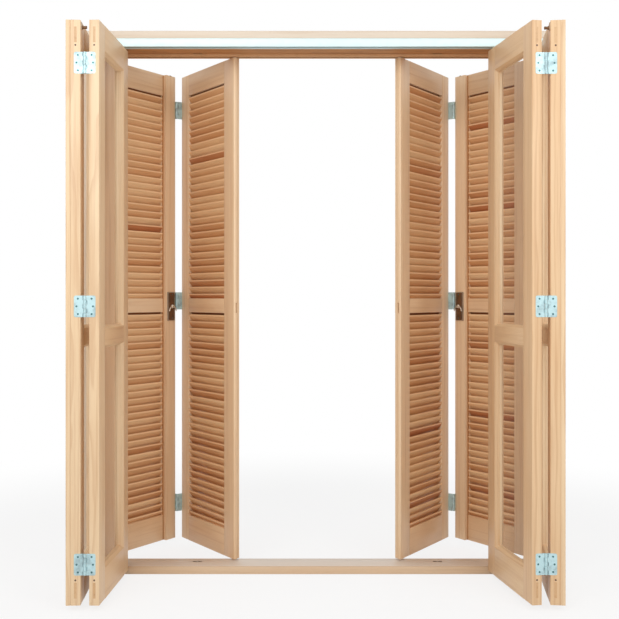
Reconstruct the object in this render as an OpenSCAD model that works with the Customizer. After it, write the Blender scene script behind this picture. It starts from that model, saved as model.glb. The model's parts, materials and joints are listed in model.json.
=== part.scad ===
// Folding balcony door: two glazed pairs and two louvred shutter pairs in one timber frame.
// Origin: on the sill's underside, midway between the jambs and midway in the frame's depth.
// X runs along the door, Y from the room to the outside, Z up. All sizes in millimetres.

/* [Frame] */
// Height of the door, from the sill's underside to the top of the head
frame_h = 2150; // [2000:1:2300]
// Depth of the frame, from the room side to the outside
frame_d = 160; // [150:1:200]
// Thickness of each jamb board
jamb_t = 35; // [28:1:50]
// Thickness of the head board
head_t = 30; // [24:1:45]
// Thickness of the sill board
sill_t = 32; // [26:1:34]
// Distance from the frame's room side to the sill's front face
sill_setback = 45; // [45:1:60]
// Radius of the holes that fix the jambs to the wall
fixing_r = 4.5; // [3:0.1:6]
// Distance between the fixing holes across a jamb
fixing_across = 60; // [40:1:90]
// Distance between the fixing holes up a jamb
fixing_up = 1500; // [1200:10:1700]

/* [Gaps round the leaves] */
// Gap between a jamb and the leaf hung on it
jamb_gap = 3; // [3:0.5:6]
// Gap between the edges of one pair's two leaves when closed
fold_gap = 2; // [2:0.5:4]
// Gap in the middle, where the two pairs meet when closed
meet_gap = 8; // [8:0.5:14]
// Gap between the tops of the leaves and the front track
top_gap = 12; // [10:1:16]
// Gap between the tops of the shutters and the back track, which hangs lower
back_top_gap = 3; // [2:0.5:6]
// Clearance beside and above the runners in their tracks
runner_gap = 0.3; // [0.2:0.1:0.6]
// Clearance between a pin and its bore
pin_fit = 0.05; // [0.02:0.01:0.1]
// Glue line between a planted strip or a mitred bead and its neighbour
glue_line = 0.05; // [0.05:0.05:0.2]

/* [Tracks] */
// Width of a track
track_w = 40; // [36:1:50]
// Height of the front track
track_h = 32; // [28:1:40]
// Wall of a track
track_wall = 3; // [2:0.5:4]
// Width of the slot along the underside of a track
track_slot = 14; // [13:0.5:20]
// Length of a runner
runner_len = 30; // [24:1:30]

/* [How far the pairs stand open] */
// Angle between the closed door and the left glazed pair
glass_open_left = 86.6; // [40:0.1:88]
// Angle between the closed door and the right glazed pair
glass_open_right = 81.4; // [40:0.1:88]
// Angle between the closed door and both shutter pairs
shutter_open = 55.6; // [40:0.1:80]

/* [Leaves] */
// Width of every leaf
leaf_w = 450; // [400:1:520]
// Thickness of a glazed leaf
glass_leaf_t = 36; // [34:1:38]
// Thickness of a shutter leaf
shutter_leaf_t = 30; // [26:1:34]
// Height of the glazed leaves' bottom edges above the sill's underside
glass_foot = 20; // [19:1:28]
// Height of the shutters' bottom edges above the sill's underside
shutter_foot = 38; // [36:1:48]
// Width of the stiles
stile_w = 80; // [70:1:95]
// Width of a hung shutter's stile at the pivot
wide_stile_w = 118; // [80:1:130]
// Width of a shutter's stile at the folding edge
fold_stile_w = 64; // [60:1:90]
// Height of the top rails
top_rail_h = 90; // [80:1:120]
// Height of the bottom rails
bottom_rail_h = 110; // [100:1:180]
// Height of a glazed leaf's middle rail
glass_mid_h = 60; // [50:1:100]
// Height of the underside of a glazed leaf's middle rail
glass_mid_z = 930; // [800:1:1100]
// Height of a shutter's middle rail
shutter_mid_h = 60; // [50:1:100]
// Height of the underside of a shutter's middle rail
shutter_mid_z = 1037; // [1030:1:1050]
// Thickness of the rails' tenons
tenon_t = 10; // [8:1:14]
// Height of a top or bottom rail's tenon
tenon_h = 56; // [40:1:60]
// Distance from the leaf's top to its upper through tenons
tenon_head = 24; // [20:1:30]
// Distance from the leaf's foot to its lower through tenons
tenon_foot = 25; // [20:1:45]
// Height of a middle rail's tenon
mid_tenon_h = 30; // [20:1:40]
// Distance from a blind tenon's end to the leaf's pivot edge
tenon_stop = 30; // [28:1:45]
// Depth of the rebate along the meeting edges
meet_rebate = 8; // [6:1:10]
// Rounding of the meeting edges on the folding side
edge_round = 5; // [5:0.5:8]

/* [Cover strips] */
// Width of the strip planted along a hung leaf's folding edge
strip_w = 60; // [50:1:75]
// Thickness of the strip
strip_t = 16; // [14:1:18]

/* [Glazing] */
// Thickness of a pane
pane_t = 4; // [3:1:6]
// Depth of the rebate round each pane
rebate = 10; // [8:1:14]
// How far a pane's edges stop short of the rebate's walls
pane_gap = 2; // [1:0.5:4]
// Bevel round each glazed opening, on the room side
bevel = 10; // [6:1:12]

/* [Louvres] */
// Number of slats in each half of a shutter leaf
slat_count = 30; // [24:1:34]
// Slope of a slat, falling from the room side to the outside
slat_angle = 57; // [52:1:60]
// Thickness of a slat
slat_t = 7; // [5:0.5:8]
// How far the slats stay behind the leaf's faces
slat_inset = 0.5; // [0.5:0.5:3]

/* [Folding hinges] */
// Height of a hinge
hinge_h = 76; // [60:1:90]
// Width of one hinge plate, from its outer edge to the pin
hinge_w = 38; // [34:1:38]
// Thickness of a hinge plate
hinge_plate_t = 2; // [1.5:0.1:2.5]
// Gap between the two plates when closed
hinge_plate_gap = 0.4; // [0.2:0.1:0.8]
// Radius of the hinge knuckles
knuckle_r = 4.5; // [4:0.1:5]
// Radius of the hinge pins
hinge_pin_r = 2.5; // [2:0.1:2.8]
// Gap between one knuckle and the next
knuckle_gap = 0.5; // [0.3:0.1:1]
// Number of knuckles on a hinge
knuckle_count = 5; // [3:2:7]
// Distance from a glazed leaf's outer face to the hinge pin
glass_pin_out = 15; // [14:1:17]
// Distance from a shutter's room face to the hinge pin
shutter_pin_out = 24; // [24:1:26]
// Heights of the glazed pairs' hinges
glass_hinge_z = [164, 1070, 1925];
// Heights of the shutter pairs' hinges
shutter_hinge_z = [194, 1086, 1929];

/* [Pivots] */
// Radius of the pivot pins and hanger pins
pivot_r = 5; // [4:0.1:6]
// How far a pivot pin reaches into a leaf
pivot_reach = 20; // [14:1:22]
// Extra depth of a pivot's bore past the pin's end
pivot_spare = 2; // [1:0.5:4]
// Radius of the collars under the leaves
collar_r = 9; // [7:0.5:11]
// Length of a pivot block in its track
block_len = 34; // [28:1:36]
// Thickness of the foot brackets
bracket_t = 4; // [3:0.5:5]
// Height of a foot bracket's upright
bracket_h = 17; // [14:1:18]
// Width of a foot bracket
bracket_w = 32; // [26:1:36]

/* [Shutter locks] */
// Height of a lock's spindle
lock_z = 1062; // [1055:1:1070]
// Height of the lock plate
lock_plate_h = 126; // [100:1:140]
// Width of the lock plate
lock_plate_w = 50; // [36:1:54]
// Thickness of the lock plate
lock_plate_t = 3; // [2:0.5:4]
// Height of the lock case
lock_case_h = 92; // [70:1:96]
// Width of the lock case
lock_case_w = 30; // [24:1:34]
// Depth of the lock case in front of its plate
lock_case_t = 6; // [5:0.5:9]
// Radius of the lever's spindle
spindle_r = 4; // [3:0.1:5]
// Radius of the lever's hub
hub_r = 8; // [7:0.5:10]
// Thickness of the lever's hub and arm
lever_t = 7; // [5:0.5:8]
// Radius of the lever's curved arm
lever_bend_r = 22; // [18:1:28]
// Width of the lever's arm
lever_w = 7; // [6:0.5:9]
// Radius of the lock rods
rod_r = 3.5; // [3:0.1:4]
// Depth of a rod's centre behind the cover strip's face
rod_depth = 5; // [5:0.1:6]
// Travel of the lock rods
rod_travel = 24; // [20:1:26]
// How far the drawn rods stay inside the strip's ends
rod_inset = 1; // [1:0.5:3]
// Thickness of the rod plates in the sill and the soffit
keep_t = 2; // [1.5:0.5:3]
// Length of the rod plates
keep_l = 36; // [28:1:50]
// Width of the rod plates
keep_w = 11; // [10:0.5:11.5]
// Clearance round a rod in its plate
keep_fit = 0.7; // [0.5:0.1:1]
// Height of the bolt slot in the meeting edge of the shutters
bolt_slot_h = 41; // [30:1:50]
// Width of the bolt slot
bolt_slot_w = 6; // [4:1:8]
// Depth of the bolt slot
bolt_slot_d = 22; // [16:1:26]

/* [Bumpers] */
// Radius of a bumper's knob
bumper_r = 5; // [4:0.5:6]
// How far a bumper's knob stands off the leaf
bumper_out = 20; // [16:1:24]
// Distance from the leaf's top to the knob
bumper_drop = 22; // [18:1:40]
// Distance from the folding edge to the knob
bumper_in = 20; // [10:1:40]
// Height of a bumper's plate
bumper_plate_h = 26; // [20:1:34]
// Width of a bumper's plate
bumper_plate_w = 14; // [12:1:20]
// Thickness of a bumper's plate
bumper_plate_t = 2.5; // [1.5:0.5:4]

/* [Hidden] */
LEFT = -1;
RIGHT = 1;
GLASS = 0;
SHUTTER = 1;
SMOOTH = 48;
OVER = 1;

opening_w = 2 * (jamb_gap + 2 * leaf_w + fold_gap) + meet_gap;
track_top = frame_h - head_t;
soffit_z = track_top - track_h;
leaf_top = soffit_z - top_gap;
lock_u = leaf_w - strip_w / 2;
knob_up = bumper_plate_h / 3;
slot_z = shutter_mid_z + OVER;

function thickness(row) = row == GLASS ? glass_leaf_t : shutter_leaf_t;
function foot(row) = row == GLASS ? glass_foot : shutter_foot;
function mid_z(row) = row == GLASS ? glass_mid_z : shutter_mid_z;
function mid_h(row) = row == GLASS ? glass_mid_h : shutter_mid_h;
function pin_out(row) = row == GLASS ? glass_pin_out : shutter_pin_out;
function hinge_heights(row) = row == GLASS ? glass_hinge_z : shutter_hinge_z;
function row_y(row) = (row == GLASS ? -1 : 1) * (frame_d - track_w) / 2;
function open_angle(row, side) =
    row == SHUTTER ? shutter_open : side == LEFT ? glass_open_left : glass_open_right;
function track_z(row) = leaf_top + (row == GLASS ? top_gap : back_top_gap);
// An opening lies between the stiles and rails, and on a glazed leaf inside their bevel.
function reveal(row) = row == GLASS ? bevel : 0;
function band(row) = [
    [foot(row) + bottom_rail_h + reveal(row), mid_z(row) - reveal(row)],
    [mid_z(row) + mid_h(row) + reveal(row), leaf_top - top_rail_h - reveal(row)]
];
function across(row, hung) = [
    (row == SHUTTER && hung ? wide_stile_w : stile_w) + reveal(row),
    leaf_w - (row == SHUTTER ? fold_stile_w : stile_w) - reveal(row)
];

// The pivot of a hung leaf and the hanger of a free leaf are half a thickness from the leaf's edge.
function pivot_u(row) = thickness(row) / 2;
function pivot_x(row) = jamb_gap + pivot_u(row);
// The hinge pin seen from the pivot, with the pair closed.
function pin_along(row) = leaf_w - pivot_u(row) + fold_gap / 2;
function pin_off(row) = thickness(row) / 2 + pin_out(row);
function pin_arm(row) = norm([pin_along(row), pin_off(row)]);
function pin_lead(row) = atan(pin_off(row) / pin_along(row));
function pin_x(row, angle) = pivot_x(row) + pin_arm(row) * cos(angle - pin_lead(row));
function pin_y(row, angle) = -pin_arm(row) * sin(angle - pin_lead(row));
function hanger_x(row, angle) = pivot_x(row) + 2 * pin_arm(row) * cos(angle - pin_lead(row));

// A pair's own frame: X from its jamb to the middle, -Y the way it folds, the row's centre at Y 0.
module in_pair(row, side) {
    translate([0, row_y(row), 0])
        mirror([side == RIGHT ? 1 : 0, 0, 0])
            mirror([0, row == SHUTTER ? 1 : 0, 0])
                translate([-opening_w / 2, 0, 0])
                    children();
}

// A leaf's own frame: X from its pivot edge to its folding edge, +Y the hinge pin's side.
module in_hung_leaf(row, side) {
    in_pair(row, side)
        translate([pivot_x(row), 0, 0])
            rotate([0, 0, -open_angle(row, side)])
                translate([-pivot_u(row), 0, 0])
                    children();
}

module in_free_leaf(row, side) {
    in_pair(row, side)
        translate([pin_x(row, open_angle(row, side)), pin_y(row, open_angle(row, side)), 0])
            rotate([0, 0, open_angle(row, side)])
                translate([fold_gap / 2 + leaf_w, -pin_off(row), 0])
                    mirror([1, 0, 0])
                        children();
}

module in_leaf(row, side, hung) {
    if (hung) in_hung_leaf(row, side) children();
    else in_free_leaf(row, side) children();
}

// Outline of the stile at the pivot, half round on a hung leaf so that it turns beside the jamb.
module pivot_stile_outline(row, hung) {
    t = thickness(row);
    inner = across(row, hung)[0];
    if (hung) {
        translate([t / 2, 0]) circle(r = t / 2, $fn = SMOOTH);
        translate([t / 2, -t / 2]) square([inner - t / 2, t]);
    } else {
        translate([meet_rebate, -t / 2]) square([inner - meet_rebate, t]);
        square([meet_rebate, t / 2 - edge_round]);
        translate([edge_round, 0]) square([inner - edge_round, t / 2]);
        translate([edge_round, t / 2 - edge_round]) circle(r = edge_round, $fn = SMOOTH);
    }
}

module bar(u, z, size_v, off_v = 0) {
    translate([u[0], off_v - size_v / 2, z[0]]) cube([u[1] - u[0], size_v, z[1] - z[0]]);
}

// The recesses that the hinge plates lie in, on the folding edge.
module hinge_recesses(row) {
    deep = hinge_plate_gap / 2 + hinge_plate_t - fold_gap / 2;
    for (z = hinge_heights(row))
        translate([leaf_w - deep, pin_off(row) - hinge_w, z - hinge_h / 2])
            cube([deep + OVER, hinge_w, hinge_h]);
}

module pivot_bores(row) {
    depth = pivot_reach + pivot_spare;
    for (z = [foot(row) - OVER, leaf_top - depth])
        translate([pivot_u(row), 0, z]) cylinder(r = pivot_r + pin_fit, h = depth + OVER, $fn = SMOOTH);
}

// Tenons run through the folding stile and stop inside the pivot stile.
module through_tenons(row) {
    for (z = [foot(row) + tenon_foot, leaf_top - tenon_head - tenon_h])
        bar([tenon_stop, leaf_w], [z, z + tenon_h], tenon_t);
}

module middle_tenon(row) {
    z = mid_z(row) + (mid_h(row) - mid_tenon_h) / 2;
    bar([tenon_stop + bolt_slot_d / 2, leaf_w - tenon_stop], [z, z + mid_tenon_h], tenon_t);
}

module glazing_cuts() {
    t = glass_leaf_t;
    u = across(GLASS, false);
    for (z = band(GLASS)) {
        translate([u[0] - rebate, -pane_t / 2, z[0] - rebate])
            cube([u[1] - u[0] + 2 * rebate, (t + pane_t) / 2 + OVER, z[1] - z[0] + 2 * rebate]);
        intersection() {
            translate([0, 0, z[0] - 2 * bevel])
                linear_extrude(height = z[1] - z[0] + 4 * bevel)
                    splay(u);
            translate([leaf_w, 0, 0])
                rotate([0, -90, 0])
                    linear_extrude(height = leaf_w)
                        splay(z);
        }
    }
}

// Section through a bevelled opening, wider at the room face.
module splay(span) {
    face = -glass_leaf_t / 2;
    polygon([
        [span[0] - bevel - OVER, face - OVER], [span[1] + bevel + OVER, face - OVER],
        [span[1], face + bevel], [span[0], face + bevel]
    ]);
}

module leaf_stiles(row, hung) {
    t = thickness(row);
    difference() {
        union() {
            translate([0, 0, foot(row)])
                linear_extrude(height = leaf_top - foot(row))
                    pivot_stile_outline(row, hung);
            bar([across(row, hung)[1], leaf_w], [foot(row), leaf_top], t);
        }
        hinge_recesses(row);
        pivot_bores(row);
        through_tenons(row);
        middle_tenon(row);
        if (row == GLASS) glazing_cuts();
        if (row == SHUTTER && !hung)
            bar([-OVER, bolt_slot_d], [slot_z, slot_z + bolt_slot_h], bolt_slot_w, bolt_slot_w / 2);
    }
}

// The planted strip: on the room face of both rows, with the lock rods in the shutters' strips.
module cover_strip(row) {
    t = thickness(row);
    side = row == GLASS ? -1 : 1;
    pocket = rod_travel + hub_r + 2 * OVER;
    difference() {
        bar([leaf_w - strip_w, leaf_w], [foot(row), leaf_top], strip_t - glue_line,
            side * (t + strip_t + glue_line) / 2);
        if (row == SHUTTER) {
            hinge_recesses(row);
            translate([lock_u, t / 2 + strip_t - rod_depth, foot(row) - OVER])
                cylinder(r = rod_r + pin_fit, h = leaf_top - foot(row) + 2 * OVER, $fn = SMOOTH);
            bar([lock_u - hub_r - OVER, lock_u + hub_r + OVER], [lock_z - pocket, lock_z + pocket],
                strip_t, t / 2 + strip_t / 2 + OVER);
        }
    }
}

module leaf_rails(row, hung) {
    t = thickness(row);
    u = across(row, hung);
    z = band(row);
    difference() {
        union() {
            bar(u, [foot(row), z[0][0]], t);
            bar(u, [z[0][1], z[1][0]], t);
            bar(u, [z[1][1], leaf_top], t);
            through_tenons(row);
            middle_tenon(row);
        }
        if (row == GLASS) glazing_cuts();
    }
}

module glass_panes() {
    edge = rebate - pane_gap;
    u = across(GLASS, false);
    for (z = band(GLASS))
        bar([u[0] - edge, u[1] + edge], [z[0] - edge, z[1] + edge], pane_t);
}

// Four mitred beads hold each pane from the outside.
module glass_beads() {
    u = across(GLASS, false);
    for (z = band(GLASS))
        translate([0, glass_leaf_t / 2, 0])
            rotate([90, 0, 0])
                linear_extrude(height = (glass_leaf_t - pane_t) / 2) {
                    for (end = [0, 1]) {
                        out = end == 0 ? -rebate : rebate;
                        far = z[end] + out;
                        side = u[end] + out;
                        polygon([
                            [u[0] - rebate, far], [u[1] + rebate, far],
                            [u[1], z[end]], [u[0], z[end]]
                        ]);
                        polygon([
                            [side, z[0] - rebate + glue_line], [u[end], z[0] + glue_line],
                            [u[end], z[1] - glue_line], [side, z[1] + rebate - glue_line]
                        ]);
                    }
                }
}

// Slats fall from the room face to the outside. The end slats are cut to the rails.
module slats(hung) {
    depth = shutter_leaf_t - 2 * slat_inset;
    length = (depth - slat_t * sin(slat_angle)) / cos(slat_angle);
    height = length * sin(slat_angle) + slat_t * cos(slat_angle);
    u = across(SHUTTER, hung);
    for (z = band(SHUTTER)) {
        pitch = (z[1] - z[0]) / slat_count;
        start = z[0] - (height - pitch) / 2;
        for (i = [0 : slat_count - 1])
            intersection() {
                translate([u[0], depth / 2 - length * cos(slat_angle), start + i * pitch])
                    rotate([slat_angle, 0, 0])
                        cube([u[1] - u[0], length, slat_t]);
                if (i == 0 || i == slat_count - 1) bar([0, leaf_w], z, shutter_leaf_t);
            }
    }
}

// One hinge half. The pin side has the outer knuckles and the pin, the plate side the ones between.
module hinge_half(row, with_pin) {
    step = hinge_h / knuckle_count;
    near = leaf_w + fold_gap / 2 - hinge_plate_gap / 2 - hinge_plate_t;
    first = with_pin ? 0 : 1;
    for (z = hinge_heights(row))
        translate([0, 0, z - hinge_h / 2]) {
            difference() {
                union() {
                    translate([near, pin_off(row) - hinge_w, 0])
                        cube([hinge_plate_t, hinge_w - knuckle_r - knuckle_gap, hinge_h]);
                    for (i = [first : 2 : knuckle_count - 1])
                        translate([0, 0, i * step + (i == 0 ? 0 : knuckle_gap / 2)]) {
                            tall = step - (i == 0 || i == knuckle_count - 1 ? 0.5 : 1) * knuckle_gap;
                            translate([near, pin_off(row) - 2 * knuckle_r, 0])
                                cube([hinge_plate_t, 2 * knuckle_r, tall]);
                            translate([leaf_w + fold_gap / 2, pin_off(row), 0])
                                cylinder(r = knuckle_r, h = tall, $fn = SMOOTH);
                        }
                    if (with_pin)
                        translate([leaf_w + fold_gap / 2, pin_off(row), 0])
                            cylinder(r = hinge_pin_r, h = hinge_h, $fn = SMOOTH);
                }
                if (!with_pin)
                    translate([leaf_w + fold_gap / 2, pin_off(row), -OVER])
                        cylinder(r = hinge_pin_r + pin_fit, h = hinge_h + 2 * OVER, $fn = SMOOTH);
            }
        }
}

module track(row) {
    inner = track_w - 2 * track_wall;
    tall = track_top - track_z(row);
    translate([-opening_w / 2, row_y(row), track_z(row)])
        rotate([90, 0, 90])
            linear_extrude(height = opening_w)
                difference() {
                    translate([-track_w / 2, 0]) square([track_w, tall]);
                    translate([-inner / 2, track_wall]) square([inner, tall - 2 * track_wall]);
                    translate([-track_slot / 2, -OVER]) square([track_slot, track_wall + 2 * OVER]);
                }
}

// A block that slides in a track, with the pin that a leaf turns on below it.
module block_on_pin(row, length, gap) {
    inner = track_w - 2 * track_wall;
    floor_z = track_z(row) + track_wall;
    tall = track_top - track_wall - floor_z;
    translate([-length / 2, gap - inner / 2, floor_z + gap])
        cube([length, inner - 2 * gap, tall - 2 * gap]);
    translate([0, 0, leaf_top - pivot_reach])
        cylinder(r = pivot_r, h = floor_z + tall / 2 - leaf_top + pivot_reach, $fn = SMOOTH);
}

module top_pivots() {
    color("dimgray")
        for (row = [GLASS, SHUTTER], side = [LEFT, RIGHT])
            in_pair(row, side)
                translate([pivot_x(row), 0, 0])
                    block_on_pin(row, block_len, 0);
}

module runner(row, side) {
    color("ivory")
        in_pair(row, side)
            translate([hanger_x(row, open_angle(row, side)), 0, 0])
                block_on_pin(row, runner_len, runner_gap);
}

// Glazed leaves turn on brackets in front of the sill, shutters on pins that stand on it.
module bottom_pivots() {
    color("silver") {
        for (side = [LEFT, RIGHT])
            in_pair(GLASS, side) {
                shelf_z = bracket_h / 2;
                translate([0, -bracket_w / 2, 0]) cube([bracket_t, bracket_w, bracket_h]);
                translate([0, -bracket_w / 2, shelf_z - bracket_t])
                    cube([pivot_x(GLASS) + collar_r + bracket_t, bracket_w, bracket_t]);
                foot_pin(GLASS, shelf_z);
            }
        for (side = [LEFT, RIGHT])
            in_pair(SHUTTER, side) foot_pin(SHUTTER, sill_t);
    }
}

module foot_pin(row, base) {
    translate([pivot_x(row), 0, base]) {
        cylinder(r = collar_r, h = foot(row) - base - runner_gap, $fn = SMOOTH);
        cylinder(r = pivot_r, h = foot(row) - base + pivot_reach, $fn = SMOOTH);
    }
}

// Where a shutter's lock rod stands when the pair is closed.
module at_rod(side) {
    in_pair(SHUTTER, side)
        translate([jamb_gap + lock_u, shutter_leaf_t / 2 + strip_t - rod_depth, 0])
            children();
}

// A keep plate, or, when not bored, the recess that it lies in.
module keep_plate(z, bored) {
    difference() {
        translate([-keep_l / 2, -keep_w / 2, z]) cube([keep_l, keep_w, keep_t]);
        if (bored)
            translate([0, 0, z - OVER])
                cylinder(r = rod_r + keep_fit, h = keep_t + 2 * OVER, $fn = SMOOTH);
    }
}

module rod_keeps() {
    color("goldenrod")
        for (side = [LEFT, RIGHT], z = [sill_t - keep_t, soffit_z])
            at_rod(side) keep_plate(z, true);
}

// The rod's hole behind a keep plate, from one height to another.
module rod_hole(z) {
    translate([0, 0, z[0]]) cylinder(r = rod_r + keep_fit, h = z[1] - z[0], $fn = SMOOTH);
}

module jamb(side) {
    color("burlywood")
        mirror([side == RIGHT ? 1 : 0, 0, 0])
            difference() {
                translate([-opening_w / 2 - jamb_t, -frame_d / 2, 0]) cube([jamb_t, frame_d, track_top]);
                translate([-opening_w / 2 - jamb_t - OVER, 0, track_top / 2])
                    for (y = [-1, 1], z = [-1, 1])
                        translate([0, y * fixing_across / 2, z * fixing_up / 2])
                            rotate([0, 90, 0])
                                cylinder(r = fixing_r, h = jamb_t + 2 * OVER, $fn = SMOOTH);
            }
}

module head_board() {
    width = opening_w + 2 * jamb_t;
    color("wheat")
        translate([-width / 2, -frame_d / 2, track_top]) cube([width, frame_d, head_t]);
}

module soffit_board() {
    depth = frame_d - 2 * track_w;
    color("sienna")
        difference() {
            translate([-opening_w / 2, -depth / 2, soffit_z]) cube([opening_w, depth, track_h]);
            for (side = [LEFT, RIGHT])
                at_rod(side) {
                    translate([0, 0, -OVER]) keep_plate(soffit_z, false);
                    keep_plate(soffit_z, false);
                    rod_hole([soffit_z, track_top - OVER]);
                }
        }
}

module sill() {
    y = sill_setback - frame_d / 2;
    color("tan")
        difference() {
            translate([-opening_w / 2, y, 0]) cube([opening_w, frame_d / 2 - y, sill_t]);
            for (side = [LEFT, RIGHT])
                at_rod(side) {
                    translate([0, 0, OVER]) keep_plate(sill_t - keep_t, false);
                    keep_plate(sill_t - keep_t, false);
                    rod_hole([foot(SHUTTER) - rod_travel - 2 * rod_inset, sill_t]);
                }
        }
}

module stiles(row, side, hung) {
    color("peru")
        in_leaf(row, side, hung) {
            leaf_stiles(row, hung);
            if (hung) cover_strip(row);
        }
}

module rails(row, side, hung) {
    color("sandybrown") in_leaf(row, side, hung) leaf_rails(row, hung);
}

module panes(side, hung) {
    color("lightblue", 0.4) in_leaf(GLASS, side, hung) glass_panes();
}

module beads(side, hung) {
    color("chocolate") in_leaf(GLASS, side, hung) glass_beads();
}

module louvres(side, hung) {
    color("sienna") in_leaf(SHUTTER, side, hung) slats(hung);
}

module hinge_pins(row, side) {
    color("lightsteelblue") in_hung_leaf(row, side) hinge_half(row, true);
}

module hinge_plates(row, side) {
    color("slategray") in_free_leaf(row, side) hinge_half(row, false);
}

// A lock's own frame: Z up at the spindle, +Y out of the cover strip's face.
module at_lock(side) {
    in_hung_leaf(SHUTTER, side)
        translate([lock_u, shutter_leaf_t / 2 + strip_t, lock_z])
            children();
}

module lock_case(side) {
    deep = lock_plate_t + lock_case_t;
    color("saddlebrown")
        at_lock(side)
            difference() {
                union() {
                    translate([-lock_plate_w / 2, 0, -lock_plate_h / 2])
                        cube([lock_plate_w, lock_plate_t, lock_plate_h]);
                    translate([-lock_case_w / 2, 0, -lock_case_h / 2])
                        cube([lock_case_w, deep, lock_case_h]);
                }
                translate([0, -OVER, 0])
                    rotate([-90, 0, 0])
                        cylinder(r = spindle_r + pin_fit, h = deep + 2 * OVER, $fn = SMOOTH);
            }
}

// The lever's two arms arch down from its hub, in one piece with the spindle and its cam.
module lock_lever(side) {
    hub_y = lock_plate_t + lock_case_t + runner_gap;
    cam_t = strip_t - rod_depth - OVER;
    color("silver")
        at_lock(side) {
            translate([0, -cam_t, 0])
                rotate([-90, 0, 0]) {
                    cylinder(r = spindle_r, h = cam_t + hub_y + lever_t, $fn = SMOOTH);
                    cylinder(r = hub_r, h = cam_t - runner_gap, $fn = SMOOTH);
                }
            translate([0, hub_y, 0])
                rotate([-90, 0, 0]) {
                    cylinder(r = hub_r, h = lever_t, $fn = SMOOTH);
                    translate([0, lever_bend_r, 0])
                        linear_extrude(height = lever_t)
                            intersection() {
                                difference() {
                                    circle(r = lever_bend_r + lever_w / 2, $fn = SMOOTH);
                                    circle(r = lever_bend_r - lever_w / 2, $fn = SMOOTH);
                                }
                                translate([-2 * lever_bend_r, -2 * lever_bend_r])
                                    square([4 * lever_bend_r, 2 * lever_bend_r]);
                            }
                }
        }
}

module upper_rod(side) {
    start = lock_z + hub_r + OVER;
    rod(side, [start, leaf_top - rod_inset]);
}

module lower_rod(side) {
    end = lock_z - hub_r - OVER;
    rod(side, [foot(SHUTTER) + rod_inset, end]);
}

module rod(side, z) {
    color("gray")
        in_hung_leaf(SHUTTER, side)
            translate([lock_u, shutter_leaf_t / 2 + strip_t - rod_depth, z[0]])
                cylinder(r = rod_r, h = z[1] - z[0], $fn = SMOOTH);
}

module bumper(side) {
    color("saddlebrown")
        in_hung_leaf(GLASS, side)
            translate([leaf_w - bumper_in, glass_leaf_t / 2, leaf_top - bumper_drop]) {
                translate([-bumper_plate_w / 2, 0, -knob_up])
                    cube([bumper_plate_w, bumper_plate_t, bumper_plate_h]);
                rotate([-90, 0, 0]) cylinder(r = bumper_r, h = bumper_out, $fn = SMOOTH);
            }
}

jamb(LEFT);  // jamb_left
jamb(RIGHT);  // jamb_right
head_board();
soffit_board();
sill();
color("gainsboro") track(GLASS);  // front_track
color("rosybrown") track(SHUTTER);  // back_track
top_pivots();
bottom_pivots();
rod_keeps();
stiles(GLASS, LEFT, true);  // glass_hung_left_stiles
rails(GLASS, LEFT, true);  // glass_hung_left_rails
panes(LEFT, true);  // glass_hung_left_panes
beads(LEFT, true);  // glass_hung_left_beads
stiles(GLASS, LEFT, false);  // glass_free_left_stiles
rails(GLASS, LEFT, false);  // glass_free_left_rails
panes(LEFT, false);  // glass_free_left_panes
beads(LEFT, false);  // glass_free_left_beads
stiles(GLASS, RIGHT, true);  // glass_hung_right_stiles
rails(GLASS, RIGHT, true);  // glass_hung_right_rails
panes(RIGHT, true);  // glass_hung_right_panes
beads(RIGHT, true);  // glass_hung_right_beads
stiles(GLASS, RIGHT, false);  // glass_free_right_stiles
rails(GLASS, RIGHT, false);  // glass_free_right_rails
panes(RIGHT, false);  // glass_free_right_panes
beads(RIGHT, false);  // glass_free_right_beads
stiles(SHUTTER, LEFT, true);  // shutter_hung_left_stiles
rails(SHUTTER, LEFT, true);  // shutter_hung_left_rails
louvres(LEFT, true);  // shutter_hung_left_slats
stiles(SHUTTER, LEFT, false);  // shutter_free_left_stiles
rails(SHUTTER, LEFT, false);  // shutter_free_left_rails
louvres(LEFT, false);  // shutter_free_left_slats
stiles(SHUTTER, RIGHT, true);  // shutter_hung_right_stiles
rails(SHUTTER, RIGHT, true);  // shutter_hung_right_rails
louvres(RIGHT, true);  // shutter_hung_right_slats
stiles(SHUTTER, RIGHT, false);  // shutter_free_right_stiles
rails(SHUTTER, RIGHT, false);  // shutter_free_right_rails
louvres(RIGHT, false);  // shutter_free_right_slats
hinge_pins(GLASS, LEFT);  // glass_left_hinge_pins
hinge_plates(GLASS, LEFT);  // glass_left_hinge_plates
hinge_pins(GLASS, RIGHT);  // glass_right_hinge_pins
hinge_plates(GLASS, RIGHT);  // glass_right_hinge_plates
hinge_pins(SHUTTER, LEFT);  // shutter_left_hinge_pins
hinge_plates(SHUTTER, LEFT);  // shutter_left_hinge_plates
hinge_pins(SHUTTER, RIGHT);  // shutter_right_hinge_pins
hinge_plates(SHUTTER, RIGHT);  // shutter_right_hinge_plates
runner(GLASS, LEFT);  // glass_left_runner
runner(GLASS, RIGHT);  // glass_right_runner
runner(SHUTTER, LEFT);  // shutter_left_runner
runner(SHUTTER, RIGHT);  // shutter_right_runner
lock_case(LEFT);  // left_lock_case
lock_lever(LEFT);  // left_lock_lever
upper_rod(LEFT);  // left_upper_rod
lower_rod(LEFT);  // left_lower_rod
lock_case(RIGHT);  // right_lock_case
lock_lever(RIGHT);  // right_lock_lever
upper_rod(RIGHT);  // right_upper_rod
lower_rod(RIGHT);  // right_lower_rod
bumper(LEFT);  // left_bumper
bumper(RIGHT);  // right_bumper
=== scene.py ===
"""Looks of the folding balcony door: oiled pine leaves, louvres, zinc hinges and bronze locks."""

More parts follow.
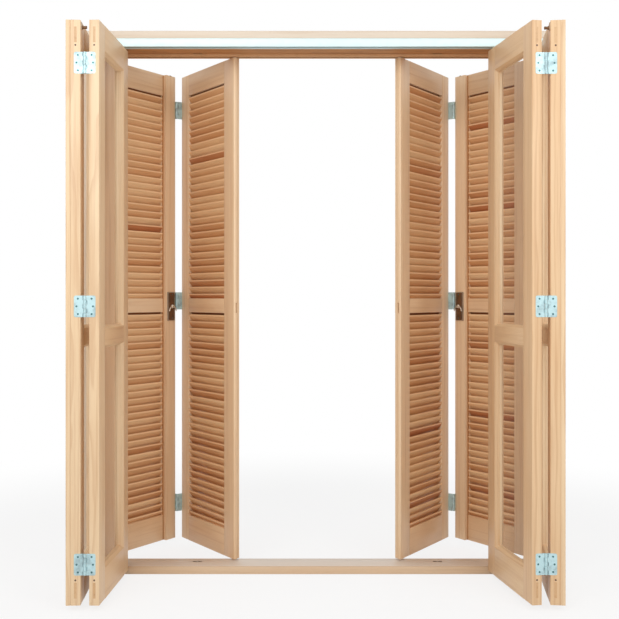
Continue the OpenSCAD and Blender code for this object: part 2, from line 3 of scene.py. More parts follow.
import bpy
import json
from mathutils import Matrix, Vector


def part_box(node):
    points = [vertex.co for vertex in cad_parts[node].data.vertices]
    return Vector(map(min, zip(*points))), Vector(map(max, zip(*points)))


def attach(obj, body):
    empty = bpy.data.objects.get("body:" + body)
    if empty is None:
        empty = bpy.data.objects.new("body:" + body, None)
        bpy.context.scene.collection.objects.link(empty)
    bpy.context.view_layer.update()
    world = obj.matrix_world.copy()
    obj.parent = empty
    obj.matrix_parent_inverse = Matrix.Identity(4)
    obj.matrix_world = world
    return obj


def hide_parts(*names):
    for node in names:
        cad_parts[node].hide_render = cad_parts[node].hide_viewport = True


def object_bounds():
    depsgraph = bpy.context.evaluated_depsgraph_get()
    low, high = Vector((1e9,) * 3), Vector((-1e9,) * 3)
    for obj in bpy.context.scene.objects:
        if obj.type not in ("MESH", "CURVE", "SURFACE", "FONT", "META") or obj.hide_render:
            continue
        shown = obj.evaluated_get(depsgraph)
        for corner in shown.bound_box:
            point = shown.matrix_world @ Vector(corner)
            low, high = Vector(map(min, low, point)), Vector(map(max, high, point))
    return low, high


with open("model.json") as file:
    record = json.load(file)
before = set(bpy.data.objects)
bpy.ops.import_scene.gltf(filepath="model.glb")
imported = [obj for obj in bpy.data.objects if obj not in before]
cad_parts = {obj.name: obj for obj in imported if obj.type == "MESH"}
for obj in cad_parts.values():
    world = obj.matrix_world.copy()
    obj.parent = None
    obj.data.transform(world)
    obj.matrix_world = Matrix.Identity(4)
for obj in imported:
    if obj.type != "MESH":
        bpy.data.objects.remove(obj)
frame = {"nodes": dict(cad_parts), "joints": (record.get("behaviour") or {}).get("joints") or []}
CAD_BOX = [list(corner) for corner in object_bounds()]

import json
import math
import random

import bmesh
import bpy
from mathutils import Matrix, Vector

random.seed(27)

# Sizes are in metres, and those of the leaves are the solids' own.
LEAF_W = 0.450
THICK = {"glass": 0.036, "shutter": 0.030}
STILE_W = 0.080
PIVOT_STILE_W = 0.118            # a hung shutter's stile at its pivots
FOLD_STILE_W = 0.064             # a shutter's stile at its folding edge
TOP_RAIL, BOTTOM_RAIL = 0.090, 0.110
MID_RAIL = {"glass": (0.930, 0.990), "shutter": (1.037, 1.097)}
RAIL_BACK = 0.0002               # a shutter's rails stand this far behind its stiles' faces
BEVEL = 0.010                    # round a glazed opening
PANE_T, PANE_EDGE = 0.004, 0.001
ARRIS, RAIL_ARRIS, FRAME_ARRIS = 0.0016, 0.0008, 0.002

# The strip planted on each hung leaf. A shutter's is bored for its rods, and the thin dark
#  strip beside it is painted shadow.
STRIP_W, STRIP_T = 0.060, 0.016
STRIP_ARRIS = 0.0009             # less than the wall beside the bore
ROD_R, ROD_DEEP = 0.0035, 0.005
ROD_BORE = ROD_R + 0.0003
SHADOW_STRIP_W, SHADOW_STRIP_UNDER, SHADOW_STRIP_DEEP, SHADOW_STRIP_PROUD, SHADOW_STRIP_SHORT = 0.005, 0.001, 0.004, 0.0003, 0.001

# A free leaf's edge, where the two middle leaves of a row meet, and the latch's slot there
MEET_REBATE, MEET_EASE = 0.008, 0.005
BOLT_SLOT_Z = (1.038, 1.079)
BOLT_SLOT_Y, BOLT_SLOT_DEEP = (0.0012, 0.006), 0.022

# Through tenons and dowels
TENON_T, TENON_H = 0.010, 0.056
TENON_HEAD, TENON_FOOT = 0.024, 0.025
END_DEEP, END_PROUD = 0.006, 0.0001
DOWEL_R = 0.0035
DOWEL_BELOW, DOWEL_ABOVE = 0.021, 0.001    # below the bottom rail's top, above the top rail's foot

# Slats
SLATS = 30                       # to each field
SLAT_ANGLE, SLAT_T = math.radians(57), 0.007
SLAT_INSET = 0.0005              # behind the stiles' faces
SLAT_RISE = 0.0155               # of the whole row against the field
SLAT_NOSE = 0.0015               # planed off, so that the nose stands upright
# The last tone is painted shade: the cut slat under each rail is darkened as if in the rail's
# shadow.
SLAT_TONE, SLAT_SPREAD, SLAT_DARKEST, SLAT_RAIL_SHADE = 0.30, 0.20, 0.8, 1.0

# Hinges
HINGE_H, HINGE_W, HINGE_T = 0.076, 0.038, 0.002
HINGE_MIDDLE = {"glass": 1.070, "shutter": 1.086}
PIN_OUT = {"glass": 0.015, "shutter": 0.024}    # from the leaf's face to the pin
PIN_R, KNUCKLE_R = 0.0024, 0.0045
KNUCKLES, KNUCKLE_GAP, KNUCKLE_EDGE = 5, 0.0005, 0.0005
FOLD_GAP, PLATE_GAP = 0.002, 0.0004
PLATE_SHORT, PLATE_CORNER = 0.005, 0.006
SCREW_LINE = 0.0265              # from the pin to the screws' line
HINGE_SCREWS = ((-0.027, 0.0024), (0, -0.0024), (0.027, 0.0024))    # up, and aside from that line
SCREW_R = 0.0036

# Locks and bumpers
LOCK_Z = 1.062
LOCK_PLATE, PLATE_T = (0.050, 0.126), 0.003
LOCK_CASE, CASE_OUT = (0.030, 0.120), 0.009
LOCK_SCREW_R, LOCK_SCREW_IN = 0.003, 0.008
ROSE_DROP = 0.036
LEVER_GAP = 0.0003
ARCH_R, ARCH_OUT, ARCH_ENDS, ARCH_SWELL = 0.022, 0.0035, 0.0021, 0.0013
BUMPER_IN, BUMPER_PLATE, BUMPER_T = 0.020, (0.014, 0.026), 0.0025
BUMPER_SCREW_R, BUMPER_SCREW_IN = 0.0028, 0.005

# Turned profiles: radius, and height from the face that they stand on
ROSE = [(0.0105, 0), (0.0105, 0.0008), (0.009, 0.0012), (0, 0.0012)]
LEVER_BOSS = [(0, 0), (0.0085, 0), (0.0085, 0.0015), (0.007, 0.0055), (0.005, 0.0069), (0, 0.0069)]
ROD_GUIDE = [(ROD_BORE, -0.001), (0.0065, -0.001), (0.0065, 0.0010), (0.0055, 0.0016),
             (ROD_BORE, 0.0016), (ROD_BORE, -0.001)]
BUMPER_KNOB = [(0, 0), (0.0068, 0.0025), (0.0066, 0.0040), (0.0058, 0.0056), (0.0052, 0.009),
               (0.0052, 0.013), (0.0056, 0.0155), (0.0056, 0.018), (0.0046, 0.0196), (0, 0.02)]
DOWEL = [(0, -END_DEEP), (DOWEL_R, -END_DEEP), (DOWEL_R, -0.0002), (DOWEL_R - 0.0004, 0.0002),
         (0, 0.0002)]

# Tracks and sill
TRACK_WALL, TRACK_SLOT, TRACK_ARRIS = 0.003, 0.014, 0.0006
SILL_TOP = 0.032

# Floor, light and the camera that was fitted to the photograph's leaf edges
FLOOR_REACH, FLOOR_DROP, FLOOR_GREY = 9.0, 0.0005, 0.86
FLOOR_WHITE, FLOOR_FADE = 0.80, (1.5, 3.2)    # share of white near the door, and where it rises
ROOM_LIGHT = 0.58
LAMPS = {"key": ((-1.6, -3.6, 3.1), (0, 0, 1.1), 2.2, 62),
         "fill": ((2.2, -3.4, 2.9), (0, 0, 1.0), 2.4, 47)}
IMAGE = 619                      # the picture's sides, in pixels
FOCAL_PX = 967.9
CENTRE_PX = (292.3, 297.3)
EYE = Vector((-0.1015, -3.8855, 1.1018))
SENSOR = 36.0

WORLD = Matrix.Identity(4)


def joint(name):
    return next(j for j in frame["joints"] if j["name"] == name)


class Leaf:
    """A leaf's own frame: X from its pivot edge to its folding edge, +Y the hinge side, Z up."""

    def __init__(self, row, side, hung):
        self.row, self.side, self.hung = row, side, hung
        self.name = f"{row}_{'hung' if hung else 'free'}_{side}"
        self.t = THICK[row]
        self.bevel = BEVEL if row == "glass" else 0
        pivot_w = PIVOT_STILE_W if row == "shutter" and hung else STILE_W
        fold_w = FOLD_STILE_W if row == "shutter" else STILE_W
        self.faces = pivot_w, LEAF_W - fold_w
        low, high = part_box(f"{self.name}_stiles")
        self.foot, self.top = low.z, high.z
        self.place = self.stand()

    def stand(self):
        """Where the leaf stands at rest, from its pair's two joints."""
        pair = f"{self.row}_{self.side}_pair"
        opens, folds = joint(f"{pair}_opens"), joint(f"{pair}_folds")
        open_by = -math.radians(opens["range_deg"][0])
        x_way = (1 if self.side == "left" else -1) * (1 if self.hung else -1)
        y_way = -1 if self.row == "glass" else 1
        along = Vector((x_way * math.cos(open_by), y_way * math.sin(open_by), 0))
        across = Vector((x_way * math.sin(open_by), -y_way * math.cos(open_by), 0))
        if self.hung:
            origin = Vector(opens["pos_m"]) - along * self.t / 2
        else:
            to_pin = along * (LEAF_W + FOLD_GAP / 2) + across * (self.t / 2 + PIN_OUT[self.row])
            origin = Vector(folds["pos_m"]) - to_pin
        return Matrix((
            (along.x, across.x, 0, origin.x),
            (along.y, across.y, 0, origin.y),
            (0, 0, 1, 0),
            (0, 0, 0, 1),
        ))

    def across(self):
        """The two openings' width, inside the bevels."""
        return self.faces[0] + self.bevel, self.faces[1] - self.bevel

    def bands(self):
        """The openings' heights, inside the bevels."""
        mid, b = MID_RAIL[self.row], self.bevel
        return [(self.foot + BOTTOM_RAIL + b, mid[0] - b), (mid[1] + b, self.top - TOP_RAIL - b)]


class Maker:
    """Collects the solids of one piece. Each point gets the grain's own coordinates and a tone."""

    def __init__(self, name, body, material, replaces=()):
        self.name, self.body, self.material, self.replaces = name, body, material, replaces
        self.mesh = bpy.data.meshes.new(name)
        self.whole = bmesh.new()
        self.layers(self.whole)

    @staticmethod
    def layers(bm):
        return bm.verts.layers.float_vector.new("grain"), bm.verts.layers.float.new("tone")

    def add(self, bm, place, grain_axis=0, tone=None, seed=None):
        """Takes a solid made in its own frame. Grain runs along grain_axis there, and the board
        comes from its own place in the log."""
        grain, tones = self.layers(bm)
        pick = random.Random(seed if seed is not None else random.random())
        shift = Vector((pick.uniform(0, 9), pick.uniform(-0.06, 0.06), pick.uniform(0.02, 0.09)))
        if tone is None:
            tone = pick.random()
        order = [(grain_axis + i) % 3 for i in range(3)]
        for vert in bm.verts:
            vert[grain] = Vector([vert.co[i] for i in order]) + shift
            vert[tones] = tone
        bm.transform(place)
        if place.determinant() < 0:
            bmesh.ops.reverse_faces(bm, faces=bm.faces)
        part = bpy.data.meshes.new("part")
        bm.to_mesh(part)
        bm.free()
        self.whole.from_mesh(part)
        bpy.data.meshes.remove(part)

    @staticmethod
    def lies_in(edge, planes):
        """Whether an edge lies in one of the planes, each given as (axis, value)."""
        return any(all(abs(vert.co[axis] - value) < 1e-6 for vert in edge.verts)
                   for axis, value in planes)

    def prism(self, outline, axis, span, place, arris=ARRIS, steps=2, mitre=None, crisp=(),
              **grain):
        """Extrudes an outline along one axis. mitre is the value of the outline's first coordinate
        at which a piece mitred at both ends keeps its whole span. Edges in a crisp plane get no
        arris."""
        bm = bmesh.new()
        rings = []
        for end, slope in zip(span, (1, -1)):
            ring = []
            for a, b in outline:
                along = end if mitre is None else end + slope * (a - mitre)
                co = {0: (along, a, b), 1: (a, along, b), 2: (a, b, along)}[axis]
                ring.append(bm.verts.new(co))
            rings.append(ring)
        count = len(outline)
        for i in range(count):
            j = (i + 1) % count
            bm.faces.new((rings[0][i], rings[0][j], rings[1][j], rings[1][i]))
        bm.faces.new(rings[0])
        bm.faces.new(rings[1])
        bmesh.ops.recalc_face_normals(bm, faces=bm.faces)
        if arris:
            sharp = [edge for edge in bm.edges if edge.calc_face_angle(0) > math.radians(28)
                     and not self.lies_in(edge, crisp)]
            bmesh.ops.bevel(bm, geom=sharp, offset=arris, segments=steps, profile=0.5,
                            affect="EDGES", clamp_overlap=True)
        bmesh.ops.triangulate(bm, faces=[face for face in bm.faces if len(face.verts) > 4])
        grain.setdefault("grain_axis", axis)
        self.add(bm, place, **grain)

    def box(self, low, high, place, axis=2, **more):
        a, b = [i for i in range(3) if i != axis]
        outline = [(low[a], low[b]), (high[a], low[b]), (high[a], high[b]), (low[a], high[b])]
        self.prism(outline, axis, (low[axis], high[axis]), place, **more)

    def turned(self, profile, place, steps=32, **grain):
        """A turned piece about its own Z, from a list of (radius, height). A ring's list ends where
        it starts."""
        bm = bmesh.new()
        rings = []
        ring_shaped = profile[0] == profile[-1]
        for radius, height in profile[:-1] if ring_shaped else profile:
            if radius == 0:
                rings.append([bm.verts.new((0, 0, height))])
                continue
            rings.append([bm.verts.new((radius * math.cos(math.tau * i / steps),
                                        radius * math.sin(math.tau * i / steps), height))
                          for i in range(steps)])
        if ring_shaped:
            rings.append(rings[0])
        for lower, upper in zip(rings, rings[1:]):
            for i in range(steps):
                j = (i + 1) % steps
                corners = (lower[i % len(lower)], lower[j % len(lower)],
                           upper[j % len(upper)], upper[i % len(upper)])
                unique = list(dict.fromkeys(corners))
                if len(unique) > 2:
                    bm.faces.new(unique)
        for ring in () if ring_shaped else (rings[0], rings[-1]):
            if len(ring) > 1:
                bm.faces.new(ring)
        bmesh.ops.recalc_face_normals(bm, faces=bm.faces)
        grain.setdefault("grain_axis", 2)
        self.add(bm, place, **grain)

    def swept(self, points, radius, place, sides=12, **grain):
        """A round bar along points in the plane of X and Z. radius gives its size by the share of
        the way along."""
        bm = bmesh.new()
        rings = []
        for i, point in enumerate(points):
            before, after = points[max(i - 1, 0)], points[min(i + 1, len(points) - 1)]
            way = (after - before).normalized()
            side = Vector((way.z, 0, -way.x))
            size = radius(i / (len(points) - 1))
            rings.append([bm.verts.new(point + side * size * math.cos(math.tau * k / sides)
                                       + Vector((0, size * math.sin(math.tau * k / sides), 0)))
                          for k in range(sides)])
        for lower, upper in zip(rings, rings[1:]):
            for k in range(sides):
                j = (k + 1) % sides
                bm.faces.new((lower[k], lower[j], upper[j], upper[k]))
        bm.faces.new(rings[0])
        bm.faces.new(rings[-1])
        bmesh.ops.recalc_face_normals(bm, faces=bm.faces)
        self.add(bm, place, **grain)

    def done(self):
        """Makes the piece of what was collected, and rides it on its body."""
        self.whole.to_mesh(self.mesh)
        self.whole.free()
        self.mesh.materials.append(self.material)
        obj = bpy.data.objects.new(self.name, self.mesh)
        bpy.context.scene.collection.objects.link(obj)
        for poly in self.mesh.polygons:
            poly.use_smooth = True
        self.mesh.set_sharp_from_angle(angle=math.radians(35))
        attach(obj, self.body)
        if self.replaces:
            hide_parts(*self.replaces)


class Wire:
    """A socket that does arithmetic: each operator adds its Math node."""

    def __init__(self, nodes, socket):
        self.nodes, self.socket = nodes, socket

    def _math(self, operation, *values):
        return self.nodes.node("ShaderNodeMath", {"operation": operation}, dict(enumerate(values)))

    def __add__(self, other): return self._math("ADD", self, other)
    def __radd__(self, other): return self._math("ADD", other, self)
    def __sub__(self, other): return self._math("SUBTRACT", self, other)
    def __rsub__(self, other): return self._math("SUBTRACT", other, self)
    def __mul__(self, other): return self._math("MULTIPLY", self, other)
    def __rmul__(self, other): return self._math("MULTIPLY", other, self)
    def __truediv__(self, other): return self._math("DIVIDE", self, other)
    def __rtruediv__(self, other): return self._math("DIVIDE", other, self)
    def fract(self): return self._math("FRACT", self)
    def root(self): return self._math("SQRT", self)
    def most(self, other): return self._math("MAXIMUM", self, other)

    def between(self, low, high):
        """A smooth step from 0 at low to 1 at high."""
        return self.nodes.node("ShaderNodeMapRange", {"interpolation_type": "SMOOTHSTEP"},
                               {"Value": self, "From Min": low, "From Max": high})


class Nodes:
    """A node tree, written as expressions on wires."""

    def __init__(self, tree):
        self.tree = tree

    def node(self, kind, settings=None, inputs=None, output=0):
        """Any node: its settings go in first, then the values or wires of its sockets."""
        made = self.tree.nodes.new(kind)
        for key, value in (settings or {}).items():
            if key == "stops":
                ramp = made.color_ramp
                while len(ramp.elements) < len(value):
                    ramp.elements.new(0.5)
                for element, (at, colour) in zip(ramp.elements, value):
                    element.position, element.color = at, (*colour, 1)
            else:
                setattr(made, key, value)
        for key, value in (inputs or {}).items():
            if isinstance(value, Wire):
                self.link(value, made.inputs[key])
            else:
                made.inputs[key].default_value = value
        return Wire(self, made.outputs[output])

    def link(self, wire, socket):
        self.tree.links.new(wire.socket, socket)

    def attribute(self, name, output="Fac"):
        return self.node("ShaderNodeAttribute", {"attribute_name": name}, output=output)

    def own_place(self):
        return self.node("ShaderNodeTexCoord", output="Object")

    def noise(self, where, scale=1.0, detail=2.0, rough=0.5):
        return self.node("ShaderNodeTexNoise", {"noise_dimensions": "3D"},
                         {"Vector": where, "Scale": scale, "Detail": detail, "Roughness": rough})

    def stretch(self, where, factors):
        return self.node("ShaderNodeVectorMath", {"operation": "MULTIPLY"}, {0: where, 1: factors})

    def split(self, where):
        first = self.node("ShaderNodeSeparateXYZ", inputs={0: where})
        return [Wire(self, output) for output in first.socket.node.outputs]

    def mix(self, factor, a, b):
        """From colour a to colour b. Each is a wire or a colour."""
        colours = {socket: value if isinstance(value, Wire) else (*value, 1)
                   for socket, value in ((6, a), (7, b))}
        return self.node("ShaderNodeMix", {"data_type": "RGBA"}, {0: factor, **colours}, output=2)


class Shader(Nodes):
    """One material: its shader is a Principled BSDF, and constants are set on its own sockets."""

    def __init__(self, name, **constants):
        self.material = bpy.data.materials.new(name)
        self.material.use_nodes = True
        super().__init__(self.material.node_tree)
        self.bsdf = self.tree.nodes["Principled BSDF"]
        for socket, value in constants.items():
            self.bsdf.inputs[socket.replace("_", " ")].default_value = value

    def feed(self, socket, wire):
        self.link(wire, self.bsdf.inputs[socket])

    def bump(self, height, distance, strength):
        self.feed("Normal", self.node("ShaderNodeBump", None, {
            "Height": height, "Distance": distance, "Strength": strength}))


def linear(colour):
    """A colour as read from a screen, 0 to 255, in the light's own scale."""
    return tuple((c / 255 / 12.92) if c / 255 <= 0.04045 else ((c / 255 + 0.055) / 1.055) ** 2.4
                 for c in colour)


def late_wood(s, grain, bends, wobble, gap, rise):
    """The dark part of each growth ring, 0 to 1. The rings lie round the grain's own axis, gap
    apart, and wander along the board. rise is where in the ring the dark starts and is full."""
    wander = s.noise(s.stretch(grain, bends), detail=3.0)
    _, y, z = s.split(grain)
    ring = (((y * y + z * z).root() + (wander - 0.5) * wobble) / gap).fract()
    return ring.between(*rise) - ring.between(0.92, 1.0)


def pine(name, pale, deep, tint, rings=0.30, ring_gap=0.0045, gloss=0.42, coat=0.18, worn_top=None):
    """Sawn and oiled pine: growth rings cut by the board, long fibres, tone from board to board.
    worn_top is the colour and the height of a face that feet have greyed."""
    pale, deep, tint = linear(pale), linear(deep), linear(tint)
    s = Shader(name, Coat_Weight=coat, Coat_Roughness=0.30, IOR=1.5)
    grain = s.attribute("grain", "Vector")
    late = late_wood(s, grain, (1.1, 9.0, 9.0), 0.020, ring_gap, (0.45, 0.92))
    fibre = s.noise(s.stretch(grain, (7.0, 620.0, 620.0)), detail=3.0, rough=0.65)
    streak = s.noise(s.stretch(grain, (1.6, 75.0, 75.0)))
    cloud = s.noise(s.stretch(grain, (2.2, 14.0, 14.0)))
    board = s.attribute("tone").between(0.0, 1.0) * 0.5 + cloud.between(0.3, 0.75) * 0.35
    ringed = s.mix(late * rings, s.mix(board, pale, tint), deep)
    dark = streak.between(0.48, 0.75) * 0.30 + fibre.between(0.42, 0.80) * 0.22
    colour = s.mix(dark, ringed, deep)
    if worn_top:
        grey, height = linear(worn_top[0]), worn_top[1]
        level = s.split(s.own_place())[2]
        worn = level.between(height - 0.0008, height - 0.0002)
        edge = level.between(height - 0.0030, height - 0.0018) - worn
        colour = s.mix(edge * 0.45, s.mix(worn * (0.9 - fibre * 0.3), colour, grey), deep)
    s.feed("Base Color", colour)
    s.feed("Roughness", gloss + fibre * 0.16 - late * 0.06)
    s.bump(fibre * 0.6 + late * 0.4, 0.00018, 0.5)
    return s.material


def slat_pine():
    """The slats were cut from mixed boards, so each has a tone of its own, from honey to red brown.
    Their upright noses are painted paler as a highlight, and the cut slat under each rail is
    painted dark as the rail's shadow."""
    s = Shader("slat_pine", Coat_Weight=0.15, Coat_Roughness=0.32, IOR=1.5)
    deep, nose_highlight = linear((140, 80, 42)), linear((246, 208, 164))
    grain = s.attribute("grain", "Vector")
    late = late_wood(s, grain, (2.0, 18.0, 18.0), 0.012, 0.0032, (0.40, 0.90))
    fibre = s.noise(s.stretch(grain, (10.0, 520.0, 520.0)), detail=3.0, rough=0.6)
    cloud = s.noise(s.stretch(grain, (5.0, 30.0, 30.0)))
    # The stops past the darkest board tone paint the shade on the cut slat under each rail.
    tones = [(0.0, (246, 208, 160)), (0.28, (236, 190, 140)), (0.55, (218, 160, 108)),
             (0.8, (190, 118, 72)), (0.88, (186, 116, 70)), (1.0, (138, 86, 50))]
    colour = s.node("ShaderNodeValToRGB", {"stops": [(at, linear(tone)) for at, tone in tones]},
                    {0: s.attribute("tone") + (cloud - 0.5) * 0.24})
    ringed = s.mix(late * 0.28, colour, deep)
    board = s.mix(fibre.between(0.45, 0.80) * 0.25, ringed, deep)
    # Painted highlight: faces that stand upright, the slats' noses, are mixed towards a paler
    # colour.
    level = s.split(s.node("ShaderNodeNewGeometry", output="True Normal"))[2]
    nose = 1 - (level * level).between(0.04, 0.16)
    s.feed("Base Color", s.mix(nose * 0.8, board, nose_highlight))
    s.feed("Roughness", 0.44 + fibre * 0.15)
    s.bump(fibre * 0.6 + late * 0.4, 0.00018, 0.5)
    return s.material


def metal(name, colour, worn, rough, metallic=1.0, grime=0.35):
    """Plated or lacquered metal with fine scratches, dull patches and grime."""
    s = Shader(name)
    place = s.own_place()
    cloud = s.noise(place, scale=38.0, detail=4.0, rough=0.6)
    scratch = s.noise(s.stretch(place, (900.0, 900.0, 60.0)))
    spots = s.noise(place, scale=260.0, detail=3.0, rough=0.7)
    wear = cloud.between(0.42, 0.72)
    dull = wear * grime + spots.between(0.6, 0.8) * 0.25
    s.feed("Base Color", s.mix(dull, linear(colour), linear(worn)))
    if metallic:
        s.feed("Metallic", metallic - wear * 0.15 * metallic)
    s.feed("Roughness", rough + cloud * 0.10 + scratch * 0.10)
    s.bump(scratch + spots * 0.5, 0.00004, 0.4)
    return s.material


def nylon():
    s = Shader("runner_nylon", IOR=1.5)
    cloud = s.noise(s.own_place(), scale=90.0, detail=4.0)
    s.feed("Base Color", s.mix(cloud.between(0.4, 0.7) * 0.4, linear((232, 228, 214)),
                               linear((205, 198, 180))))
    s.feed("Roughness", 0.42 + cloud * 0.2)
    s.bump(cloud, 0.00008, 0.5)
    return s.material


def glass():
    """Float glass: nearly clear, with faint roller waves and a touch of dust."""
    s = Shader("float_glass", IOR=1.5, Metallic=0.0)
    place = s.own_place()
    wave = s.noise(s.stretch(place, (6.0, 6.0, 2.0)), detail=1.0)
    dust = s.noise(place, scale=60.0, detail=4.0)
    s.feed("Base Color", s.mix(dust.between(0.5, 0.8), linear((226, 238, 236)),
                               linear((210, 214, 206))))
    s.feed("Alpha", 0.022 + dust.between(0.5, 0.85) * 0.012)
    s.feed("Roughness", 0.04 + dust * 0.05)
    s.bump(wave, 0.0004, 0.3)
    return s.material


# Woods: pale wood, late wood, and the tint of the darker boards
LEAF_PINE = pine("leaf_pine", (238, 209, 170), (190, 139, 94), (225, 184, 138))
SHUTTER_PINE = pine("shutter_pine", (244, 216, 180), (196, 146, 102), (230, 192, 150))
FRAME_PINE = pine("frame_pine", (226, 214, 198), (192, 160, 128), (216, 198, 174))
SILL_PINE = pine("sill_pine", (226, 200, 168), (180, 142, 106), (216, 184, 150), rings=0.2,
                 worn_top=((228, 219, 208), SILL_TOP))
# Dark pine for the soffit board, and for the painted shadow line beside each shutter's cover strip
DARK_PINE = pine("stained_pine", (206, 148, 94), (132, 80, 44), (180, 122, 74), gloss=0.7,
                    coat=0.02)
DOWEL_END = pine("dowel_end", (96, 58, 34), (52, 30, 18), (78, 46, 28), ring_gap=0.0015)
TENON_END = pine("tenon_end", (220, 182, 138), (166, 116, 74), (206, 162, 116), ring_gap=0.002)
SLAT_PINE = slat_pine()

# Metals: clean, worn, roughness
ZINC = metal("hinge_zinc", (192, 222, 226), (134, 152, 156), 0.36, metallic=0.55, grime=0.6)
PLATE = metal("lock_plate_nickel", (188, 170, 150), (140, 120, 100), 0.34, metallic=0.7)
STEEL = metal("pivot_steel", (188, 192, 192), (140, 144, 146), 0.32)
SCREW = metal("screw_steel", (84, 122, 124), (52, 82, 86), 0.35)
ALUMINIUM = metal("track_aluminium", (216, 238, 240), (196, 220, 224), 0.42, metallic=0.3,
                  grime=0.2)
TRACK_BROWN = metal("track_brown", (222, 172, 124), (196, 146, 102), 0.62, metallic=0.0)
BRONZE = metal("bronze_lacquer", (122, 88, 60), (78, 54, 36), 0.40, metallic=0.65, grime=0.5)
NICKEL = metal("lever_nickel", (226, 218, 204), (176, 162, 144), 0.26)
BRASS = metal("keep_brass", (206, 172, 106), (150, 116, 62), 0.34)
NYLON = nylon()
GLASS = glass()


def leaf_wood(leaf):
    return LEAF_PINE if leaf.row == "glass" else SHUTTER_PINE


def mouldings(leaf, maker, side, upright, seeds, tones):
    """The mitred lengths round each opening, upright or level, on the leaf's face at side (1 or
    -1). Each takes the seed and the tone of the board behind it."""
    face = side * leaf.t / 2
    profile = [(0, 0), (0, face), (BEVEL, face - side * BEVEL), (BEVEL, 0)]
    left, right = leaf.faces
    for index, (low, high) in enumerate(leaf.bands()):
        low, high = low - BEVEL, high + BEVEL
        if upright:
            axis, span, boards = 2, (low, high), ((0, left, 1), (1, right, -1))
        else:
            axis, span, boards = 0, (left, right), ((index, low, 1), (index + 1, high, -1))
        for board, at, way in boards:
            if upright:
                turn = Matrix(((way, 0, 0, at), (0, 1, 0, 0), (0, 0, 1, 0), (0, 0, 0, 1)))
            else:
                turn = Matrix(((1, 0, 0, 0), (0, 0, 1, 0), (0, way, 0, at), (0, 0, 0, 1)))
            maker.prism(profile, axis, span, leaf.place @ turn, arris=0, mitre=0,
                        seed=seeds[board], tone=tones[board])


def pivot_stile_outline(leaf, slotted):
    """The stile at the pivot: half round on a hung leaf, rebated and eased on a free one, which
    the latch's slot may cut."""
    half, inner = leaf.t / 2, leaf.faces[0]
    if leaf.hung:
        arc = [(half - half * math.sin(a), half * math.cos(a))
               for a in (math.pi * i / 18 for i in range(19))]
        return [(inner, half)] + arc + [(inner, -half)]
    arc = [(MEET_EASE - MEET_EASE * math.sin(a), half - MEET_EASE + MEET_EASE * math.cos(a))
           for a in (math.pi / 2 * i / 5 for i in range(6))]
    near, far = BOLT_SLOT_Y
    slot = [(0, far), (BOLT_SLOT_DEEP, far), (BOLT_SLOT_DEEP, near), (0, near)] if slotted else []
    rebate = [(0, 0), (MEET_REBATE, 0), (MEET_REBATE, -half)]
    return [(inner, half)] + arc + slot + rebate + [(inner, -half)]


def cover_strip(leaf, maker):
    """The strip along a hung leaf's folding edge. A shutter's strip holds the lock's rods in a
    bore that is open to the stile, and a thin dark strip beside it is a painted shadow."""
    half, start = leaf.t / 2, LEAF_W - STRIP_W
    if leaf.row == "glass":
        maker.box((start, -half - STRIP_T, leaf.foot), (LEAF_W, -half, leaf.top), leaf.place,
                  tone=random.random())
        return
    far, middle = half + STRIP_T, LEAF_W - STRIP_W / 2
    left, right, deep = middle - ROD_BORE, middle + ROD_BORE, far - ROD_DEEP + ROD_BORE
    outline = [(start, half), (left, half), (left, deep), (right, deep), (right, half),
               (LEAF_W, half), (LEAF_W, far), (start, far)]
    maker.prism(outline, 2, (leaf.foot, leaf.top), leaf.place, arris=STRIP_ARRIS,
                crisp=[(0, left), (0, right), (1, deep)], tone=random.random())
    # A thin dark pine strip, standing just proud of the face beside the cover strip, is painted
    # shadow.
    shadow_strip = Maker(f"{leaf.name}_strip_quirk", leaf.name, DARK_PINE)
    shadow_strip.box((start - SHADOW_STRIP_W, half - SHADOW_STRIP_DEEP, leaf.foot + SHADOW_STRIP_SHORT),
              (start + SHADOW_STRIP_UNDER, half + SHADOW_STRIP_PROUD, leaf.top - SHADOW_STRIP_SHORT), leaf.place,
              arris=0.0001, steps=1)
    shadow_strip.done()


def stiles(leaf):
    maker = Maker(f"{leaf.name}_stile_boards", leaf.name, leaf_wood(leaf), [f"{leaf.name}_stiles"])
    seeds = [random.random(), random.random()]
    tones = [random.random(), random.random()]
    half = leaf.t / 2
    crisp = [(0, face) for face in leaf.faces] if leaf.bevel else []
    cuts = [leaf.foot, leaf.top]
    if leaf.row == "shutter" and not leaf.hung:
        cuts[1:1] = BOLT_SLOT_Z
    for i, heights in enumerate(zip(cuts, cuts[1:])):
        maker.prism(pivot_stile_outline(leaf, slotted=i == 1), 2, heights, leaf.place,
                    seed=seeds[0], tone=tones[0], crisp=crisp + [(2, z) for z in cuts[1:-1]])
    maker.box((leaf.faces[1], -half, leaf.foot), (LEAF_W, half, leaf.top), leaf.place,
              seed=seeds[1], tone=tones[1], crisp=crisp)
    if leaf.hung:
        cover_strip(leaf, maker)
    if leaf.bevel:
        mouldings(leaf, maker, -1, True, seeds, tones)
    maker.done()


def rails(leaf):
    maker = Maker(f"{leaf.name}_rail_boards", leaf.name, leaf_wood(leaf), [f"{leaf.name}_rails"])
    b, (lower, upper) = leaf.bevel, leaf.bands()
    levels = [(leaf.foot, lower[0] - b), (lower[1] + b, upper[0] - b), (upper[1] + b, leaf.top)]
    seeds = [random.random() for _ in levels]
    tones = [random.random() for _ in levels]
    half = leaf.t / 2 - (RAIL_BACK if leaf.row == "shutter" else 0)
    for (low, high), seed, tone in zip(levels, seeds, tones):
        maker.box((leaf.faces[0], -half, low), (leaf.faces[1], half, high), leaf.place, axis=0,
                  seed=seed, tone=tone, arris=RAIL_ARRIS, crisp=[(2, low), (2, high)] if b else ())
    if b:
        mouldings(leaf, maker, -1, False, seeds, tones)
    maker.done()


